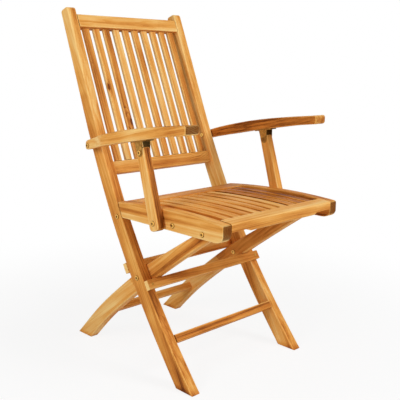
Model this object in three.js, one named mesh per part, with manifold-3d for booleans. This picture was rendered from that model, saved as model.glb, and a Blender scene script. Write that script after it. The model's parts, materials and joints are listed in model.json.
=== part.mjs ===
// Folding teak armchair, drawn open. Millimetres, +Z up, the sitter faces -Y.
// Heights are taken from the floor and depths (Y) from the pivot of the seat link on the stile.
// Lateral places are distances from the middle plane.
import * as THREE from "three";
import { mergeVertices, toCreasedNormals } from "three/addons/utils/BufferGeometryUtils.js";
import Module from "manifold-3d";

const wasm = await Module();
wasm.setup();

const SIDES = [
  [-1, "_left"],
  [1, "_right"],
];

// Fineness of the curves
const searchHalvings = 40;
const edgeSamples = 12; // points tested along each stretch of the leg's edge
const creaseAngle = Math.PI / 5;
const easeRows = 2;
const cornerSteps = 3;
const roundSteps = 8;
const linkEndSteps = 6;
const stileSteps = 26;
const stileTopSteps = 4;
const legSteps = 24;
const linkSteps = 8;
const railCrownSteps = 12;
const slatCrownSteps = 8;
const frontCrownSteps = 4;
const rearCrownSteps = 3;
const toeSteps = 7;
const armSteps = 18;
const armEndSteps = 3;

// Clearances
const glueGap = 0.2; // between pieces that are glued or screwed together
const battenGap = 0.5; // between a flat batten and the curved stile that carries it
const runningGap = 0.4; // between pieces that turn past each other
const boreGap = 0.3; // radial, round a pivot bolt

// Brass bolts
const shankRadius = 3;
const headRadius = 6.6;
const headHeight = 2.4;
const headRim = 1.5;
const headDome = 1.6;
const collarRadius = 5.6;
const socketRadius = 2.3;
const socketDepth = 1.3;
const boltFacets = 14;
const socketSides = 6;

// Stiles: front legs and back posts in one
const stileThickness = 28;
const stileInner = 182.5;
const stileOuter = stileInner + stileThickness;
const stileHeight = 920.5; // along the centre line, before the rounded end
const stileLean = 486.4; // top behind the foot
const stileDepth = 44; // at the foot
const stileTopRound = 8;
const stileLineShares = [
  [-0.06, -0.0945],
  [0, 0],
  [0.115, 0.1704],
  [0.23, 0.3229],
  [0.3455, 0.4571],
  [0.4606, 0.5746],
  [0.6333, 0.7248],
  [0.8061, 0.8552],
  [1, 1],
];
const stileDepthShares = [
  [-0.06, 1],
  [0, 0.99],
  [0.12, 0.95],
  [0.4, 0.925],
  [0.63, 0.87],
  [0.8, 0.805],
  [1, 0.72],
];

// Pivots on the stile: shares of its height, and how far the hole lies in front of its centre line
const linkPivotShare = 0.41836;
const linkPivotLead = 5.94099;
const legPivotShare = 0.261923;
const legPivotLead = 1.98305;
const armPivotShare = 0.611841;
const armPivotLead = 5.27524;

// Offsets [depth, height] of the other pivots
const seatLegOffset = [-310.6, 14.1]; // rear leg on seat rail, from the link's pivot on the stile
const seatLinkOffset = [-213.7, 16.6]; // link on seat rail, from the same
const postSeatOffset = [-173.2, 18.2]; // arm post on seat rail, from the same
const postArmOffset = [-210.2, 3.1]; // arm post on bracket, from the arm's pivot

// Pivots: [depth, height] of the hole centres
const linkPivot = [0, linkPivotShare * stileHeight]; // link on stile
const stileSetback = stileLineAt(stileLine(0), linkPivot[1]).place.x - linkPivotLead;
const legPivot = onStile(legPivotShare, legPivotLead); // rear leg on stile
const armPivot = onStile(armPivotShare, armPivotLead); // armrest on stile
const seatLegPivot = offsetFrom(linkPivot, seatLegOffset);
const seatLinkPivot = offsetFrom(linkPivot, seatLinkOffset);
const postSeatPivot = offsetFrom(linkPivot, postSeatOffset);
const postArmPivot = offsetFrom(armPivot, postArmOffset);

// Seat links: flat brass straps between stile and rear leg
const linkThickness = 3;
const linkOuter = stileInner - runningGap;
const linkInner = linkOuter - linkThickness;
const linkWidth = 13;
const linkBow = 3;

// Rear legs
const legThickness = 27;
const legOuter = linkInner - runningGap;
const legInner = legOuter - legThickness;
const legPivotBow = 20.0447; // stile pivot above the straight line from seat pivot to foot
const legDepth = 42;
const legBow = 22;
const legBowShares = [
  [0, 0.118],
  [0.2, 0.59],
  [0.4, 0.955],
  [0.6, 1],
  [0.8, 0.77],
  [1, 0],
  [1.07, -0.36],
];
const legDepthShares = [
  [0, 0.657],
  [0.1, 0.72],
  [0.2, 0.8],
  [0.3, 0.89],
  [0.4, 0.98],
  [0.5, 1],
  [1.07, 1],
];

// Back: rails and slats lie in one plane that leans with the stiles
const lowerRailShare = 0.550788; // heights of the rails' middles, as shares of the stile's
const topRailShare = 0.966866;
const lowerRailLevel = lowerRailShare * stileHeight;
const topRailLevel = topRailShare * stileHeight;
const topRailHeight = 37;
const topRailDepth = 26;
const lowerRailHeight = 34;
const lowerRailDepth = 22;
const lowerRailRecess = 8;
const railEase = 3;
const backSlatCount = 10;
const backSlatWidth = 20;
const backSlatSideGap = 15.9; // between the outer slats and the stiles
const backSlatPitch = pitchBetween(stileInner - backSlatSideGap, backSlatWidth, backSlatCount);
const backSlatThickness = 10.5;
const backSlatRecess = 9;
const slatEase = 1.6;

// Battens on the stiles and stretchers between the legs
const frontBatten = { height: 24, thickness: 14, legGap: 0.25 };
const rearBatten = { height: 26, thickness: 14, legGap: 2.15 };
const battenReachShare = 3; // farthest that a batten may be from the leg pivot, in leg depths
const stretcherEase = 3;
const frontStretcher = { depth: 25, height: 20, stileShare: 0.111896, inset: 13 };
const rearStretcher = { depth: 22, height: 20, legShare: 0.798 };

// Seat
const railThickness = 27;
const seatRailProud = 5; // beyond the stiles' outer faces
const seatRailOuter = stileOuter + seatRailProud;
const seatRailInner = seatRailOuter - railThickness;
const seatNose = 64.1; // rail in front of the rear leg's pivot
const seatFront = seatLegPivot[0] - seatNose;
const seatRailRise = 1.9; // above the link's pivot on the stile, as are the next two
const seatTopRearRise = 40.4;
const seatTopFrontRise = 45.6;
const seatRailBottom = linkPivot[1] + seatRailRise;
const seatTopRear = linkPivot[1] + seatTopRearRise;
const seatTopFront = linkPivot[1] + seatTopFrontRise;
const railStileGapTop = 12.732; // between the side rails' rear ends and the stiles
const railStileGapBottom = 9.581;
const seatRearTop = stileEdge(seatTopRear, -1).depth - railStileGapTop;
const seatRearBottom = stileEdge(seatRailBottom, -1).depth - railStileGapBottom;
const seatCrown = 8.5;
const railNoseRadius = 6;
const railToeLength = 27;
const railToeHeight = 17;
const railToeFullShare = 0.11; // how far the toe keeps off its square corner
const frontRailDepth = 37;
const frontRailHeight = 26;
const frontRailRound = 5;
const legRelief = 7; // cut under the front rail, where the folded legs lie
const legReliefMargin = 21;
const legReliefRamp = 12;
const rearRailInset = 6;
const rearRailDepth = 60;
const rearRailThickness = 15;
const seatSlatCount = 10;
const seatSlatWidth = 22;
const seatSlatSideGap = 23.6; // between the outer slats and the side rails
const seatSlatPitch = pitchBetween(seatRailInner - seatSlatSideGap, seatSlatWidth, seatSlatCount);
const seatSlatThickness = 12;
const seatSlatRecess = 2.5; // below the rails
const softEase = 3;

// Armrests
const armSpacer = 6; // between stile and armrest
const armInner = stileOuter + armSpacer;
const armWidth = 45;
const tongueWidth = 24.5;
const armTail = 12.1; // behind the pivot
const armRear = armPivot[0] + armTail;
const armReach = 396;
const armRise = 82.6;
const armThickness = 30;
const armEase = 4.5;
const armNoseRound = 6;
const tongueRound = 9;
const flareStartShare = 0.08;
const flareEndShare = 0.27;
const armTopShares = [
  [0, 0.14],
  [0.096, 0.282],
  [0.197, 0.403],
  [0.298, 0.512],
  [0.399, 0.615],
  [0.5, 0.7],
  [0.626, 0.793],
  [0.7525, 0.867],
  [0.879, 0.93],
  [1, 1],
];
const armThicknessShares = [
  [0, 0.83],
  [0.1, 0.92],
  [0.25, 0.98],
  [0.4, 1],
  [0.5, 0.99],
  [0.63, 0.95],
  [0.75, 0.86],
  [0.88, 0.78],
  [1, 0.78],
];

// Arm posts and their brackets
const postSpacer = 3; // between seat rail and post
const postInner = seatRailOuter + postSpacer;
const postThickness = 22.8;
const postOuter = postInner + postThickness;
const postHeadDepth = 27;
const postFootDepth = 32;
const postHeadroom = 12; // wood above the upper hole
const postFootroom = 19.5; // wood below the lower hole
const postHeadRound = 5;
const postFootRound = 9.5;
const earThickness = 1.8;
const earInner = postInner - glueGap - earThickness;
const earOuter = postOuter + glueGap + earThickness;
const earRadius = 9.5;
const earRootWidth = 28;
const plateLength = 60;
const plateThickness = 2.5;
const plateCorner = 4;
const nutHeight = 0.8;

const cutOverrun = 20; // how far a cutting tool reaches past the piece

const teak = new THREE.MeshStandardMaterial({ color: 0xd9964f, roughness: 0.55, metalness: 0 });
const teakLight = new THREE.MeshStandardMaterial({ color: 0xe3a661, roughness: 0.55, metalness: 0 });
const brass = new THREE.MeshStandardMaterial({ color: 0xc9a24a, roughness: 0.35, metalness: 1 });

const chair = new THREE.Group();
chair.name = "folding_armchair";

// Turns a drawing in (depth, height) that is extruded towards the viewer into a piece across X.
const ACROSS = new THREE.Matrix4().makeBasis(
  new THREE.Vector3(0, 1, 0),
  new THREE.Vector3(0, 0, 1),
  new THREE.Vector3(1, 0, 0),
);

function addPiece(parent, name, geometry, material, place = [0, 0, 0]) {
  const mesh = new THREE.Mesh(toCreasedNormals(geometry, creaseAngle), material);
  mesh.name = name;
  mesh.position.set(...place);
  parent.add(mesh);
  return mesh;
}

// The same piece on both sides, drawn for the right and mirrored for the left.
function addPair(parent, name, geometry, material, [x, y, z] = [0, 0, 0]) {
  for (const [side, suffix] of SIDES) {
    const mesh = addPiece(parent, name + suffix, geometry, material, [side * x, y, z]);
    mesh.scale.x = side;
  }
}

function solidFrom(geometry) {
  const bare = geometry.clone();
  bare.deleteAttribute("normal");
  bare.deleteAttribute("uv");
  const merged = mergeVertices(bare);
  return new wasm.Manifold(
    new wasm.Mesh({
      numProp: 3,
      vertProperties: new Float32Array(merged.attributes.position.array),
      triVerts: new Uint32Array(merged.index.array),
    }),
  );
}

function geometryFrom(solid) {
  const mesh = solid.getMesh();
  const geometry = new THREE.BufferGeometry();
  geometry.setAttribute("position", new THREE.BufferAttribute(mesh.vertProperties, mesh.numProp));
  geometry.setIndex(new THREE.BufferAttribute(mesh.triVerts, 1));
  return geometry;
}

function subtract(geometry, tools) {
  let solid = solidFrom(geometry);
  for (const tool of tools) {
    solid = solid.subtract(solidFrom(tool));
  }
  return geometryFrom(solid);
}

function join(geometries) {
  let solid = solidFrom(geometries[0]);
  for (const geometry of geometries.slice(1)) {
    solid = solid.add(solidFrom(geometry));
  }
  return geometryFrom(solid);
}

// A value read off a table of [share, value] rows, straight between the rows.
function readShares(rows, share) {
  const upper = rows.findIndex((row) => row[0] >= share);
  if (upper < 0) {
    return rows[rows.length - 1][1];
  }
  if (upper === 0) {
    return rows[0][1];
  }
  const [fromShare, fromValue] = rows[upper - 1];
  const [toShare, toValue] = rows[upper];
  return THREE.MathUtils.mapLinear(share, fromShare, toShare, fromValue, toValue);
}

// The two edges of a piece that follows a centre line with a changing depth.
function edgesAlong(line, shareOf, depthAt, steps) {
  const left = [];
  const right = [];
  for (let i = 0; i <= steps; i += 1) {
    const point = line.getPoint(i / steps);
    const tangent = line.getTangent(i / steps);
    const half = depthAt(shareOf(point)) / 2;
    left.push(new THREE.Vector2(point.x - tangent.y * half, point.y + tangent.x * half));
    right.push(new THREE.Vector2(point.x + tangent.y * half, point.y - tangent.x * half));
  }
  return { left, right };
}

// Replaces the corner at b of the path a-b-c by an arc of the given radius.
function roundedCorner(a, b, c, radius, steps) {
  const toA = a.clone().sub(b).normalize();
  const toC = c.clone().sub(b).normalize();
  const half = Math.acos(THREE.MathUtils.clamp(toA.dot(toC), -1, 1)) / 2;
  const reach = radius / Math.tan(half);
  const centre = toA.clone().add(toC).normalize().multiplyScalar(radius / Math.sin(half)).add(b);
  const start = toA.multiplyScalar(reach).add(b).sub(centre);
  const end = toC.multiplyScalar(reach).add(b).sub(centre);
  const turn = Math.atan2(start.x * end.y - start.y * end.x, start.dot(end));
  const arc = [];
  for (let i = 0; i <= steps; i += 1) {
    arc.push(start.clone().rotateAround(new THREE.Vector2(), (turn * i) / steps).add(centre));
  }
  return arc;
}

// A polygon whose corners are rounded by their own radii; a radius of zero leaves the corner.
function roundedOutline(corners, steps = cornerSteps) {
  return corners.flatMap(([x, y, radius], i) => {
    const here = new THREE.Vector2(x, y);
    if (!radius) {
      return [here];
    }
    const before = corners[(i + corners.length - 1) % corners.length];
    const after = corners[(i + 1) % corners.length];
    const a = new THREE.Vector2(before[0], before[1]);
    const c = new THREE.Vector2(after[0], after[1]);
    return roundedCorner(a, here, c, radius, steps);
  });
}

// Keeps the part of a polygon above the floor, and drops points that crowd the new corners.
function cutAtFloor(outline, crowding) {
  const cut = outline.flatMap((point, i) => {
    const next = outline[(i + 1) % outline.length];
    const kept = point.y >= 0 ? [point] : [];
    if (point.y >= 0 === next.y >= 0) {
      return kept;
    }
    const crossing = point.clone().lerp(next, point.y / (point.y - next.y));
    return [...kept, crossing.setY(0)];
  });
  const corners = cut.filter((point) => point.y === 0);
  const clear = (point) => corners.every((corner) => corner.distanceTo(point) > crowding);
  return cut.filter((point) => point.y === 0 || clear(point));
}

// A plate of the given outline in X and Y, centred on Z, with eased edges all round both faces.
function easedPlate(outline, thickness, ease) {
  const geometry = new THREE.ExtrudeGeometry(new THREE.Shape(outline), {
    depth: thickness - 2 * ease,
    bevelEnabled: ease > 0,
    bevelThickness: ease,
    bevelSize: ease,
    bevelOffset: -ease,
    bevelSegments: easeRows,
    steps: 1,
  });
  return geometry.translate(0, 0, ease - thickness / 2);
}

// The same from a side view, standing across the chair.
function acrossChair(outline, thickness, ease) {
  return easedPlate(outline, thickness, ease).applyMatrix4(ACROSS);
}

function rectangle(width, height) {
  return [
    new THREE.Vector2(-width / 2, -height / 2),
    new THREE.Vector2(width / 2, -height / 2),
    new THREE.Vector2(width / 2, height / 2),
    new THREE.Vector2(-width / 2, height / 2),
  ];
}

// A round tool across the chair at a pivot.
function boreAt([depth, height], centre, length, radius = shankRadius + boreGap) {
  const tool = new THREE.CylinderGeometry(radius, radius, length + cutOverrun, boltFacets);
  return tool.rotateZ(-Math.PI / 2).translate(centre, depth, height);
}

// The outline of a pivot bolt as [radius, distance] rows, from the middle of the chair outwards.
// Its inner end is a nut against nutSeat or is flush at tail, its outer end is a domed head
// against headSeat or is flush at tip, and spacer collars sit on its shank.
function boltProfile({ headSeat, tip, nutSeat, tail, nut = headHeight, collars = [] }) {
  const profile = [];
  if (nutSeat === undefined) {
    profile.push([0, tail], [shankRadius, tail]);
  } else {
    profile.push([0, nutSeat - nut], [headRadius - nut / 2, nutSeat - nut]);
    profile.push([headRadius, nutSeat - nut / 2], [headRadius, nutSeat], [shankRadius, nutSeat]);
  }
  for (const [from, to] of collars) {
    profile.push([shankRadius, from], [collarRadius, from], [collarRadius, to], [shankRadius, to]);
  }
  if (headSeat === undefined) {
    profile.push([shankRadius, tip], [0, tip]);
  } else {
    profile.push([shankRadius, headSeat], [headRadius, headSeat], [headRadius, headSeat + headRim]);
    profile.push([headRadius - headDome, headSeat + headHeight], [0, headSeat + headHeight]);
  }
  return profile;
}

function addBolts(parent, name, [depth, height], spec) {
  const rows = boltProfile(spec).filter((row, i, all) => i === 0 || String(row) !== String(all[i - 1]));
  const points = rows.map(([radius, distance]) => new THREE.Vector2(radius, distance));
  let geometry = new THREE.LatheGeometry(points, boltFacets);
  if (spec.headSeat !== undefined) {
    const socket = new THREE.CylinderGeometry(socketRadius, socketRadius, 2 * socketDepth, socketSides);
    socket.translate(0, spec.headSeat + headHeight, 0);
    geometry = subtract(geometry, [socket]);
  }
  geometry.rotateZ(-Math.PI / 2);
  addPair(parent, name, geometry, brass, [0, depth, height]);
}

// The pitch of equal slats whose outer edges lie at plus and minus the given reach.
function pitchBetween(reach, width, count) {
  return (2 * reach - width) / (count - 1);
}

function offsetFrom([depth, height], [back, up]) {
  return [depth + back, height + up];
}

// Halves the way between a value that fails a test and one that passes, until they meet.
function firstThatPasses(failing, passing, test) {
  for (let i = 0; i < searchHalvings; i += 1) {
    const middle = (failing + passing) / 2;
    if (test(middle)) {
      passing = middle;
    } else {
      failing = middle;
    }
  }
  return passing;
}

// The stile's centre line, with its foot the given distance in front of the link pivot.
function stileLine(setback = stileSetback) {
  return new THREE.SplineCurve(
    stileLineShares.map(
      ([up, back]) => new THREE.Vector2(back * stileLean - setback, up * stileHeight),
    ),
  );
}

// Where a stile line reaches a height, and its direction there.
function stileLineAt(line, height) {
  const share = firstThatPasses(0, 1, (middle) => line.getPoint(middle).y >= height);
  return { place: line.getPoint(share), tangent: line.getTangent(share) };
}

function onStile(share, lead) {
  const height = share * stileHeight;
  return [stileLineAt(stileLine(), height).place.x - lead, height];
}

// Depth of the stile's front or rear edge at a height; towards is -1 for the front, +1 for the rear.
function stileEdge(height, towards) {
  const { place, tangent } = stileLineAt(stileLine(), height);
  const half = (readShares(stileDepthShares, height / stileHeight) * stileDepth) / 2;
  const depth = place.x + (towards * half) / tangent.y;
  return { depth, lean: Math.atan2(tangent.x, tangent.y) };
}

function addStiles(parent) {
  const depthAt = (share) => readShares(stileDepthShares, share) * stileDepth;
  const { left, right } = edgesAlong(stileLine(), (p) => p.y / stileHeight, depthAt, stileSteps);
  const [rearBelow, rearCorner] = right.slice(-2);
  const [frontBelow, frontCorner] = left.slice(-2);
  const roundTop = (a, b, c) => roundedCorner(a, b, c, stileTopRound, stileTopSteps);
  const rearTop = roundTop(rearBelow, rearCorner, frontCorner);
  const frontTop = roundTop(rearCorner, frontCorner, frontBelow);
  const edge = [...right.slice(0, -1), ...rearTop, ...frontTop, ...left.slice(0, -1).reverse()];
  const outline = cutAtFloor(edge, 2 * softEase);
  const bores = [linkPivot, legPivot, armPivot].map((pivot) => boreAt(pivot, 0, stileThickness));
  const geometry = subtract(acrossChair(outline, stileThickness, softEase), bores);
  addPair(parent, "stile", geometry, teak, [stileInner + stileThickness / 2, 0, 0]);
}

// The rear leg's centre line: it bows over the straight line from its seat pivot to its foot,
// which runs so that the leg's pivot on the stile lies legPivotBow above it.
function legLine() {
  const start = new THREE.Vector2(...seatLegPivot);
  const along = new THREE.Vector2(...legPivot).sub(start);
  const dip = Math.asin(legPivotBow / along.length());
  along.normalize().rotateAround(new THREE.Vector2(), -dip);
  const length = -start.y / along.y;
  const up = new THREE.Vector2(-along.y, along.x);
  const points = legBowShares.map(([share, bow]) =>
    start.clone().addScaledVector(along, share * length).addScaledVector(up, bow * legBow),
  );
  const shareOf = (point) => point.clone().sub(start).dot(along) / length;
  const placeAt = (share) => {
    const bow = readShares(legBowShares, share) * legBow;
    return start.clone().addScaledVector(along, share * length).addScaledVector(up, bow);
  };
  return { line: new THREE.SplineCurve(points), shareOf, placeAt, along };
}

function legEdge() {
  const { line, shareOf } = legLine();
  const depthAt = (share) => readShares(legDepthShares, share) * legDepth;
  const { left, right } = edgesAlong(line, shareOf, depthAt, legSteps);
  const end = roundEnd(line.getPoint(0), left[0], roundSteps);
  return [...left.slice().reverse(), ...end, ...right];
}

function addRearLegs(parent) {
  const outline = cutAtFloor(legEdge(), 2 * softEase);
  const bores = [legPivot, seatLegPivot].map((pivot) => boreAt(pivot, 0, legThickness));
  const geometry = subtract(acrossChair(outline, legThickness, softEase), bores);
  addPair(parent, "rear_leg", geometry, teak, [legOuter - legThickness / 2, 0, 0]);
}

function addRearStretcher(parent) {
  const { placeAt, along } = legLine();
  const place = placeAt(rearStretcher.legShare);
  const outline = stretcherSection(rearStretcher);
  const geometry = acrossChair(outline, 2 * (legInner - glueGap), 0);
  const mesh = addPiece(parent, "rear_stretcher", geometry, teak, [0, place.x, place.y]);
  mesh.rotation.x = Math.atan2(along.y, along.x);
}

function stretcherSection({ depth, height }) {
  return roundedOutline(
    rectangle(depth, height).map((corner) => [corner.x, corner.y, stretcherEase]),
  );
}

function addFrontStretcher(parent) {
  const level = frontStretcher.stileShare * stileHeight;
  const { depth, lean } = stileEdge(level, -1);
  const outline = stretcherSection(frontStretcher);
  const geometry = acrossChair(outline, 2 * (stileInner - glueGap), 0);
  const place = [0, depth + frontStretcher.inset, level];
  const mesh = addPiece(parent, "front_stretcher", geometry, teak, place);
  mesh.rotation.x = -lean;
}

// Whether a batten at a level keeps its gap from the rear legs; towards is -1 for the front batten.
function battenClears({ height, thickness, legGap }, towards, level) {
  const { depth, lean } = stileEdge(level, towards);
  const middle = towards * (thickness / 2 + battenGap);
  return legEdge().every((point, i, edge) => {
    const next = edge[(i + 1) % edge.length];
    return [...Array(edgeSamples).keys()].every((sample) => {
      const away = point.clone().lerp(next, sample / edgeSamples);
      away.sub(new THREE.Vector2(depth, level)).rotateAround(new THREE.Vector2(), lean);
      const beside = Math.max(Math.abs(away.x - middle) - thickness / 2, 0);
      const above = Math.max(Math.abs(away.y) - height / 2, 0);
      return Math.hypot(beside, above) >= legGap;
    });
  });
}

// A batten screwed to the stiles' front or rear faces, its ends flush with their outer faces.
// It lies as near to the rear legs' pivot as the legs allow.
function addBatten(parent, name, towards, batten) {
  const { height, thickness } = batten;
  const farthest = legPivot[1] + towards * battenReachShare * legDepth;
  const level = firstThatPasses(legPivot[1], farthest, (tried) => battenClears(batten, towards, tried));
  const { depth, lean } = stileEdge(level, towards);
  const holder = new THREE.Group();
  holder.position.set(0, depth, level);
  holder.rotation.x = -lean;
  const geometry = easedPlate(rectangle(2 * stileOuter, height), thickness, slatEase);
  geometry.rotateX(Math.PI / 2);
  addPiece(holder, name, geometry, teak, [0, towards * (thickness / 2 + battenGap), 0]);
  parent.add(holder);
}

function addBack(parent) {
  const foot = stileEdge(lowerRailLevel, -1).depth;
  const rise = topRailLevel - lowerRailLevel;
  const lean = stileEdge(topRailLevel, -1).depth - foot;
  const span = Math.hypot(rise, lean);
  const holder = new THREE.Group();
  holder.position.set(0, foot, lowerRailLevel);
  holder.rotation.x = -Math.atan2(lean, rise);
  parent.add(holder);
  const railLength = 2 * (stileInner - glueGap);

  const topRail = easedPlate(rectangle(railLength, topRailHeight), topRailDepth, railEase);
  topRail.rotateX(Math.PI / 2);
  addPiece(holder, "top_rail", topRail, teak, [0, topRailDepth / 2, span]);

  const lowerRail = easedPlate(rectangle(railLength, lowerRailHeight), lowerRailDepth, railEase);
  lowerRail.rotateX(Math.PI / 2);
  addPiece(holder, "lower_back_rail", lowerRail, teak, [0, lowerRailRecess + lowerRailDepth / 2, 0]);

  const from = lowerRailHeight / 2 + glueGap;
  const to = span - topRailHeight / 2 - glueGap;
  const slat = easedPlate(rectangle(backSlatWidth, to - from), backSlatThickness, slatEase);
  slat.rotateX(Math.PI / 2);
  for (let i = 0; i < backSlatCount; i += 1) {
    const x = (i - (backSlatCount - 1) / 2) * backSlatPitch;
    const place = [x, backSlatRecess + backSlatThickness / 2, (from + to) / 2];
    addPiece(holder, "back_slat_" + String(i + 1).padStart(2, "0"), slat, teakLight, place);
  }
}

// Height of the seat's crowned top at a depth.
function seatTop(depth) {
  const share = (depth - seatRearTop) / (seatFront - seatRearTop);
  const chord = THREE.MathUtils.lerp(seatTopRear, seatTopFront, share);
  return chord + seatCrown * 4 * share * (1 - share);
}

// Points along the seat's top, or below it, from one depth to another.
function crownPoints(from, to, steps, below = 0) {
  const points = [];
  for (let i = 0; i <= steps; i += 1) {
    const depth = THREE.MathUtils.lerp(from, to, i / steps);
    points.push([depth, seatTop(depth) - below, 0]);
  }
  return points;
}

function addSeatSideRails(parent) {
  const crown = crownPoints(seatRearTop, seatFront, railCrownSteps);
  crown[crown.length - 1][2] = railNoseRadius;
  const toe = new THREE.QuadraticBezierCurve(
    new THREE.Vector2(0, railToeHeight),
    new THREE.Vector2(railToeLength, railToeHeight).multiplyScalar(railToeFullShare),
    new THREE.Vector2(railToeLength, 0),
  );
  const toePoints = toe.getPoints(toeSteps).map((p) => [seatFront + p.x, seatRailBottom + p.y, 0]);
  const outline = roundedOutline([...crown, ...toePoints, [seatRearBottom, seatRailBottom, 0]]);
  const bores = [seatLegPivot, seatLinkPivot].map((pivot) => boreAt(pivot, 0, railThickness));
  const geometry = subtract(acrossChair(outline, railThickness, softEase), bores);
  addPair(parent, "seat_side_rail", geometry, teak, [seatRailOuter - railThickness / 2, 0, 0]);
}

function addSeatFrontRail(parent) {
  const rear = seatFront + frontRailDepth;
  const crown = crownPoints(rear, seatFront, frontCrownSteps);
  const bottom = seatTopFront - frontRailHeight;
  crown[0][2] = slatEase;
  crown[crown.length - 1][2] = frontRailRound;
  const outline = roundedOutline([
    ...crown,
    [seatFront, bottom, frontRailRound],
    [rear, bottom, frontRailRound],
  ]);
  const body = acrossChair(outline, 2 * (seatRailInner - glueGap), 0);
  const reliefs = SIDES.map(([side]) => {
    const ramp = side * (legInner - legReliefMargin);
    const inner = ramp - side * legReliefRamp;
    const outer = side * (seatRailInner + cutOverrun);
    const tool = easedPlate(
      [
        new THREE.Vector2(inner, -cutOverrun),
        new THREE.Vector2(inner, 0),
        new THREE.Vector2(ramp, legRelief),
        new THREE.Vector2(outer, legRelief),
        new THREE.Vector2(outer, -cutOverrun),
      ],
      frontRailDepth + cutOverrun,
      0,
    );
    return tool.rotateX(Math.PI / 2).translate(0, seatFront + frontRailDepth / 2, bottom);
  });
  addPiece(parent, "seat_front_rail", subtract(body, reliefs), teak);
}

// A board bent to the seat's crown and sunk below it, seen from the side.
function crownedBoard(from, to, thickness, steps, recess = 0) {
  const top = crownPoints(from, to, steps, recess);
  const under = crownPoints(to, from, steps, recess + thickness);
  return [...top, ...under].map(([depth, height]) => new THREE.Vector2(depth, height));
}

function addSeatRearRail(parent) {
  const from = seatRearTop - rearRailInset;
  const outline = crownedBoard(from, from - rearRailDepth, rearRailThickness, rearCrownSteps);
  const geometry = acrossChair(outline, 2 * (seatRailInner - glueGap), 0);
  addPiece(parent, "seat_rear_rail", geometry, teak);
}

function addSeatSlats(parent) {
  const from = seatRearTop - rearRailInset - rearRailDepth - glueGap;
  const to = seatFront + frontRailDepth + glueGap;
  const outline = crownedBoard(from, to, seatSlatThickness, slatCrownSteps, seatSlatRecess);
  const geometry = acrossChair(outline, seatSlatWidth, slatEase);
  for (let i = 0; i < seatSlatCount; i += 1) {
    const x = (i - (seatSlatCount - 1) / 2) * seatSlatPitch;
    addPiece(parent, "seat_slat_" + String(i + 1).padStart(2, "0"), geometry, teakLight, [x, 0, 0]);
  }
}

// Points that carry an outline half a turn round a centre, from a start point.
function roundEnd(centre, start, steps) {
  const points = [];
  for (let i = 1; i < steps; i += 1) {
    points.push(start.clone().rotateAround(centre, (Math.PI * i) / steps));
  }
  return points;
}

// A round-ended strap that bows a little between its two holes.
function addSeatLinks(parent) {
  const from = new THREE.Vector2(...linkPivot);
  const to = new THREE.Vector2(...seatLinkPivot);
  const middle = from.clone().lerp(to, 1 / 2);
  middle.y += 2 * linkBow;
  const line = new THREE.QuadraticBezierCurve(from, middle, to);
  const { left, right } = edgesAlong(line, () => 0, () => linkWidth, linkSteps);
  const outline = [
    ...right,
    ...roundEnd(to, right[right.length - 1], linkEndSteps),
    ...left.slice().reverse(),
    ...roundEnd(from, left[0], linkEndSteps),
  ];
  const bores = [linkPivot, seatLinkPivot].map((pivot) => boreAt(pivot, 0, linkThickness));
  const geometry = subtract(acrossChair(outline, linkThickness, 0), bores);
  addPair(parent, "seat_link", geometry, brass, [linkInner + linkThickness / 2, 0, 0]);
}

// One rounded section of the armrest: corner points round a box from x0 to x1 and z0 to z1.
function armSection({ depth, x0, x1, z0, z1, radius }) {
  const outline = roundedOutline([
    [x0, z0, radius],
    [x1, z0, radius],
    [x1, z1, radius],
    [x0, z1, radius],
  ]);
  return outline.map((point) => new THREE.Vector3(point.x, depth, point.y));
}

// A closed skin over sections that all have the same number of points.
function skinOver(sections) {
  const around = sections[0].length;
  const positions = sections.flat().flatMap((point) => point.toArray());
  const faces = [];
  for (let i = 0; i + 1 < sections.length; i += 1) {
    for (let j = 0; j < around; j += 1) {
      const k = (j + 1) % around;
      const a = i * around + j;
      const b = i * around + k;
      faces.push(a, b, a + around, b, b + around, a + around);
    }
  }
  const last = (sections.length - 1) * around;
  for (let j = 1; j + 1 < around; j += 1) {
    faces.push(0, j + 1, j, last, last + j, last + j + 1);
  }
  const geometry = new THREE.BufferGeometry();
  geometry.setAttribute("position", new THREE.Float32BufferAttribute(positions, 3));
  geometry.setIndex(faces);
  return geometry;
}

function armStation(share, insetAcross = 0, insetUp = 0) {
  const top = armPivot[1] + readShares(armTopShares, share) * armRise;
  const thickness = readShares(armThicknessShares, share) * armThickness;
  const flare = THREE.MathUtils.smoothstep(share, flareStartShare, flareEndShare);
  const width = THREE.MathUtils.lerp(tongueWidth, armWidth, flare);
  return {
    depth: armRear - share * armReach,
    x0: armInner + insetAcross,
    x1: armInner + width - insetAcross,
    z0: top - thickness + insetUp,
    z1: top - insetUp,
    radius: armEase - insetAcross / 2,
  };
}

// Sections from the rounded tongue behind the pivot to the rounded front end.
function armSections() {
  const sections = [];
  const first = tongueRound / armReach;
  const last = 1 - armNoseRound / armReach;
  for (let i = 0; i < armEndSteps; i += 1) {
    const turn = (Math.PI * i) / (2 * armEndSteps);
    const inset = 1 - Math.sin(turn);
    sections.push(armStation(first * (1 - Math.cos(turn)), inset * armEase, inset * tongueRound));
  }
  for (let i = 0; i <= armSteps; i += 1) {
    sections.push(armStation(THREE.MathUtils.lerp(first, last, i / armSteps)));
  }
  for (let i = armEndSteps - 1; i >= 0; i -= 1) {
    const turn = (Math.PI * i) / (2 * armEndSteps);
    const inset = 1 - Math.sin(turn);
    const share = 1 - (1 - last) * (1 - Math.cos(turn));
    sections.push(armStation(share, inset * armEase, inset * armNoseRound));
  }
  return sections.map(armSection);
}

function addArmrests(parent) {
  const bore = boreAt(armPivot, armInner + tongueWidth / 2, tongueWidth);
  addPair(parent, "armrest", subtract(skinOver(armSections()), [bore]), teakLight);
}

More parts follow.
